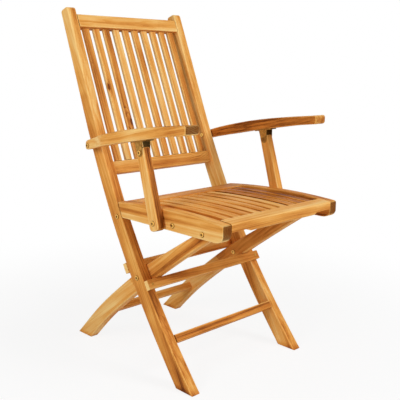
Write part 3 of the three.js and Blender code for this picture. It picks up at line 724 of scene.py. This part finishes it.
def mark_wear_and_painted_light(piece, wear_and_light_pattern):
    """Writes how far each point of a brass piece is rubbed bright, from -1 to 1, with the painted
    highlight and painted shade on bolt heads and brackets counted in.
    """
    write_attribute(piece.data, "worn", "FLOAT", "POINT", wear_and_light_pattern(points_of(piece.data)))


def dress_brass(node, wear_and_light_pattern, edge=0.0):
    """Makes a brass piece, with its cut edges broken by the width edge."""
    piece = welded_copy(node, node + "_brass")
    piece.data.materials.append(brass())
    if edge:
        select_only(piece)
        bpy.ops.object.mode_set(mode="EDIT")
        bpy.ops.mesh.select_all(action="SELECT")
        bpy.ops.mesh.dissolve_limited(angle_limit=ON_ONE_PLANE)
        bpy.ops.object.mode_set(mode="OBJECT")
        apply_modifier("BEVEL", width=edge, segments=2, limit_method="ANGLE", angle_limit=CUT_EDGE)
    mark_wear_and_painted_light(piece, wear_and_light_pattern)
    soften(piece, bpy.context.scene.chair_brass.crispness)
    stand_in(piece, node)


class SeatLinksOperator(bpy.types.Operator):
    """Dresses the flat brass straps between the stiles and the seat"""

    bl_idname = "chair.seat_links"
    bl_label = "Seat links"

    def execute(self, context):
        for side in SIDES:
            dress_brass("seat_link" + side, evenly_worn, context.scene.chair_brass.edge)
        return {"FINISHED"}


class BracketsOperator(bpy.types.Operator):
    """Dresses the folded brass brackets under the armrests"""

    bl_idname = "chair.brackets"
    bl_label = "Arm brackets"

    def execute(self, context):
        for side in SIDES:
            dress_brass("arm_bracket" + side, rubbed_outside_painted_shade_between, context.scene.chair_brass.edge)
        return {"FINISHED"}


class PivotBoltsOperator(bpy.types.Operator):
    """Dresses the brass bolts and nuts that the chair folds on"""

    bl_idname = "chair.pivot_bolts"
    bl_label = "Pivot bolts"

    def execute(self, context):
        for node in sorted(frame["nodes"]):
            if node.startswith(("bolt_", "nut_")):
                dress_brass(node, painted_bolt_ring)
        return {"FINISHED"}


def model_screw(settings):
    """One domed screw head with a cross recess, standing on the origin and facing up."""
    radius, height, width = settings.screw_radius, settings.screw_height, settings.slot_width
    dome = height * 0.55
    slot_length, slot_height = radius * 1.15, height * 1.2
    bpy.ops.object.select_all(action="DESELECT")
    bpy.ops.mesh.primitive_cylinder_add(
        vertices=32, radius=radius, depth=height, location=(0, 0, height / 2)
    )
    screw = bpy.context.object
    bpy.ops.object.transform_apply(location=True, rotation=True, scale=True)
    bpy.ops.object.mode_set(mode="EDIT")
    bpy.ops.mesh.select_all(action="DESELECT")
    bpy.ops.object.mode_set(mode="OBJECT")
    for face in screw.data.polygons:
        face.select = face.normal.z > 0.9
    bpy.ops.object.mode_set(mode="EDIT")
    bpy.ops.mesh.bevel(offset=dome, segments=3, affect="EDGES")
    bpy.ops.object.mode_set(mode="OBJECT")

    bars = []
    for size in ((slot_length, width), (width, slot_length)):
        bpy.ops.mesh.primitive_cube_add(size=1, location=(0, 0, height))
        bar = bpy.context.object
        bar.scale = (*size, slot_height)
        bpy.ops.object.transform_apply(location=True, rotation=False, scale=True)
        bars.append(bar)
    for bar in bars:
        select_only(screw)
        apply_modifier("BOOLEAN", operation="DIFFERENCE", object=bar, solver="EXACT")
    for bar in bars:
        bpy.data.objects.remove(bar)
    return screw


def drive_screw(pattern, name, place, facing, body):
    """Sets a copy of the screw at a place, standing out in the direction facing."""
    select_only(pattern)
    bpy.ops.object.duplicate()
    screw = bpy.context.object
    screw.name = name
    upright = Vector(TOP).rotation_difference(facing).to_matrix().to_4x4()
    screw.matrix_world = Matrix.Translation(place) @ upright
    bpy.ops.object.transform_apply(location=True, rotation=True, scale=True)
    screw.data.materials.clear()
    screw.data.materials.append(brass())
    mark_wear_and_painted_light(screw, evenly_worn)
    soften(screw, bpy.context.scene.chair_brass.crispness)
    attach(screw, body)


def flat_face(node, towards):
    """Middle of the board face that looks most nearly in a direction, and that face's normal."""
    mesh = frame["nodes"][node].data
    _, axes = board_axes(mesh)
    axis = max(axes, key=lambda direction: abs(direction @ np.array(towards)))
    axis = axis * np.sign(axis @ np.array(towards))
    low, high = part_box(node)
    middle = np.array((low + high) / 2)
    reach = ((points_of(mesh) - middle) @ axis).max()
    return Vector(middle + axis * reach), Vector(axis)


class BattenScrewsOperator(bpy.types.Operator):
    """Drives a brass screw through each end of the two battens"""

    bl_idname = "chair.batten_screws"
    bl_label = "Batten screws"

    def execute(self, context):
        pattern = model_screw(context.scene.chair_brass)
        stile_low, stile_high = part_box("stile_right")
        across = (stile_low.x + stile_high.x) / 2
        for node, towards in (("front_batten", FRONT), ("rear_batten", BACK)):
            middle, facing = flat_face(node, towards)
            for side, x in zip(SIDES, (-across, across)):
                place = Vector((x, middle.y, middle.z))
                drive_screw(pattern, node + "_screw" + side, place, facing, BODY_OF[node])
        bpy.data.objects.remove(pattern)
        return {"FINISHED"}


class BracketScrewsOperator(bpy.types.Operator):
    """Drives two brass screws up through each bracket's plate"""

    bl_idname = "chair.bracket_screws"
    bl_label = "Bracket screws"

    def execute(self, context):
        pattern = model_screw(context.scene.chair_brass)
        for side in SIDES:
            node = "arm_bracket" + side
            low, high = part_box(node)
            points = points_of(frame["nodes"][node].data)
            front = points[points[:, 1] < low.y + AT_SIDE]
            rear = points[points[:, 1] > high.y - AT_SIDE]
            front_under = front[front[:, 2].argmin()]
            rear_under = rear[rear[:, 2].argmin()]
            run = Vector(rear_under - front_under)
            run.x = 0
            facing = Vector((0, run.z, -run.y)).normalized()
            start = Vector(front_under)
            start.x = (low.x + high.x) / 2
            shares_of_run = {"_front": 0.14, "_rear": 0.86}
            for end, share in shares_of_run.items():
                place = start + run * share
                drive_screw(pattern, node + "_screw" + end, place, facing, BODY_OF[node])
        bpy.data.objects.remove(pattern)
        return {"FINISHED"}


# Stage


CHAIR_MIDDLE = (0, 0, 0.45)
CAMERA_PLACE = (-1.2765, -1.27936, 0.7822)
CAMERA_TURNS = (("Z", -43.18), ("X", 81.8), ("Z", 0.67))


def pale_floor(settings):
    """A pale floor that takes the chair's shadow and turns to plain white farther out."""
    floor = Finish("pale_floor")
    matte = floor.node("ShaderNodeBsdfDiffuse")
    floor.feed(matte.inputs["Color"], (*settings.floor, 1.0))
    glow = floor.node("ShaderNodeEmission")
    floor.feed(glow.inputs["Color"], WHITE)
    floor.feed(glow.inputs["Strength"], 1.0)
    rays = floor.node("ShaderNodeLightPath")
    seen = floor.math(
        "ADD",
        rays.outputs["Is Camera Ray"],
        floor.math("ADD", rays.outputs["Is Glossy Ray"], rays.outputs["Is Transmission Ray"]),
        clamp=True,
    )
    from_chair = floor.vector("LENGTH", floor.node("ShaderNodeTexCoord").outputs["Object"])
    whiteness = floor.between(from_chair, 0.35, 1.3, 0.86, 1.0, smooth=True)
    both = floor.node("ShaderNodeMixShader")
    floor.feed(both.inputs[0], floor.math("MULTIPLY", seen, whiteness))
    floor.feed(both.inputs[1], matte.outputs["BSDF"])
    floor.feed(both.inputs[2], glow.outputs["Emission"])
    return floor.surface(both.outputs["Shader"])


def light_sky(strength):
    """A white world that lights at the given strength and is seen as plain white."""
    world = bpy.data.worlds.new("white_sky")
    world.use_nodes = True
    nodes, links = world.node_tree.nodes, world.node_tree.links
    nodes.clear()
    rays = nodes.new("ShaderNodeLightPath")
    seen = rays.outputs["Is Camera Ray"]
    for other in ("Is Glossy Ray", "Is Transmission Ray"):
        either = nodes.new("ShaderNodeMath")
        either.operation, either.use_clamp = "ADD", True
        links.new(seen, either.inputs[0])
        links.new(rays.outputs[other], either.inputs[1])
        seen = either.outputs[0]
    level = nodes.new("ShaderNodeMapRange")
    links.new(seen, level.inputs["Value"])
    level.inputs["To Min"].default_value = strength
    level.inputs["To Max"].default_value = 1.0
    sky = nodes.new("ShaderNodeBackground")
    links.new(level.outputs["Result"], sky.inputs["Strength"])
    sky.inputs["Color"].default_value = WHITE
    output = nodes.new("ShaderNodeOutputWorld")
    links.new(sky.outputs["Background"], output.inputs["Surface"])
    bpy.context.scene.world = world


def hang_lamp(name, place, size, watts):
    """A round lamp that shines at the middle of the chair."""
    bpy.ops.object.light_add(type="AREA", location=place)
    lamp = bpy.context.object
    lamp.name = name
    lamp.data.shape = "DISK"
    lamp.data.size = size
    lamp.data.energy = watts
    aim = Vector(CHAIR_MIDDLE) - Vector(place)
    lamp.rotation_euler = aim.to_track_quat("-Z", "Y").to_euler()


class StageOperator(bpy.types.Operator):
    """Sets up the floor, the lamps and the camera"""

    bl_idname = "chair.stage"
    bl_label = "Stage"

    def execute(self, context):
        settings = context.scene.chair_stage
        bpy.ops.object.select_all(action="DESELECT")
        bpy.ops.mesh.primitive_plane_add(size=settings.floor_size, location=(0, 0, 0))
        floor = context.object
        floor.name = "floor"
        floor.data.materials.append(pale_floor(settings))
        light_sky(settings.sky)
        hang_lamp("key_lamp", place=(0.9, -2.3, 2.1), size=1.4, watts=settings.key)
        hang_lamp("side_lamp", place=(-1.8, -0.2, 1.2), size=0.9, watts=settings.side)

        bpy.ops.object.camera_add()
        camera = context.object
        camera.name = "camera"
        camera.data.sensor_width = 36.0
        camera.data.lens = 61.17
        camera.data.shift_x = 0.067
        camera.data.shift_y = -0.1019
        stand = Matrix.Translation(CAMERA_PLACE)
        for axis, degrees in CAMERA_TURNS:
            stand = stand @ Matrix.Rotation(math.radians(degrees), 4, axis)
        camera.matrix_world = stand
        context.scene.camera = camera
        context.scene.view_settings.view_transform = "Standard"
        return {"FINISHED"}


STEPS = (
    StilesOperator,
    BackRailsOperator,
    BackSlatsOperator,
    BattensOperator,
    RearLegsOperator,
    SeatRailsOperator,
    SeatSlatsOperator,
    ArmrestsOperator,
    ArmPostsOperator,
    SeatLinksOperator,
    BracketsOperator,
    PivotBoltsOperator,
    BattenScrewsOperator,
    BracketScrewsOperator,
    StageOperator,
)


class ArmchairPanel(bpy.types.Panel):
    """Lists the armchair's pieces"""

    bl_idname = "VIEW3D_PT_armchair"
    bl_label = "Folding armchair"
    bl_space_type = "VIEW_3D"
    bl_region_type = "UI"
    bl_category = "Armchair"

    def draw(self, context):
        for step in STEPS:
            self.layout.operator(step.bl_idname)


SETTINGS = (
    ("chair_teak", TeakSettings),
    ("chair_brass", BrassSettings),
    ("chair_stage", StageSettings),
)


def register():
    for name, group in SETTINGS:
        bpy.utils.register_class(group)
        setattr(bpy.types.Scene, name, bpy.props.PointerProperty(type=group))
    for step in STEPS:
        bpy.utils.register_class(step)
    bpy.utils.register_class(ArmchairPanel)


def unregister():
    bpy.utils.unregister_class(ArmchairPanel)
    for step in reversed(STEPS):
        bpy.utils.unregister_class(step)
    for name, group in reversed(SETTINGS):
        delattr(bpy.types.Scene, name)
        bpy.utils.unregister_class(group)


def main():
    register()
    bpy.ops.chair.stiles()
    bpy.ops.chair.back_rails()
    bpy.ops.chair.back_slats()
    bpy.ops.chair.battens()
    bpy.ops.chair.rear_legs()
    bpy.ops.chair.seat_rails()
    bpy.ops.chair.seat_slats()
    bpy.ops.chair.armrests()
    bpy.ops.chair.arm_posts()
    bpy.ops.chair.seat_links()
    bpy.ops.chair.brackets()
    bpy.ops.chair.pivot_bolts()
    bpy.ops.chair.batten_screws()
    bpy.ops.chair.bracket_screws()
    bpy.ops.chair.stage()


if __name__ == "__main__":
    main()
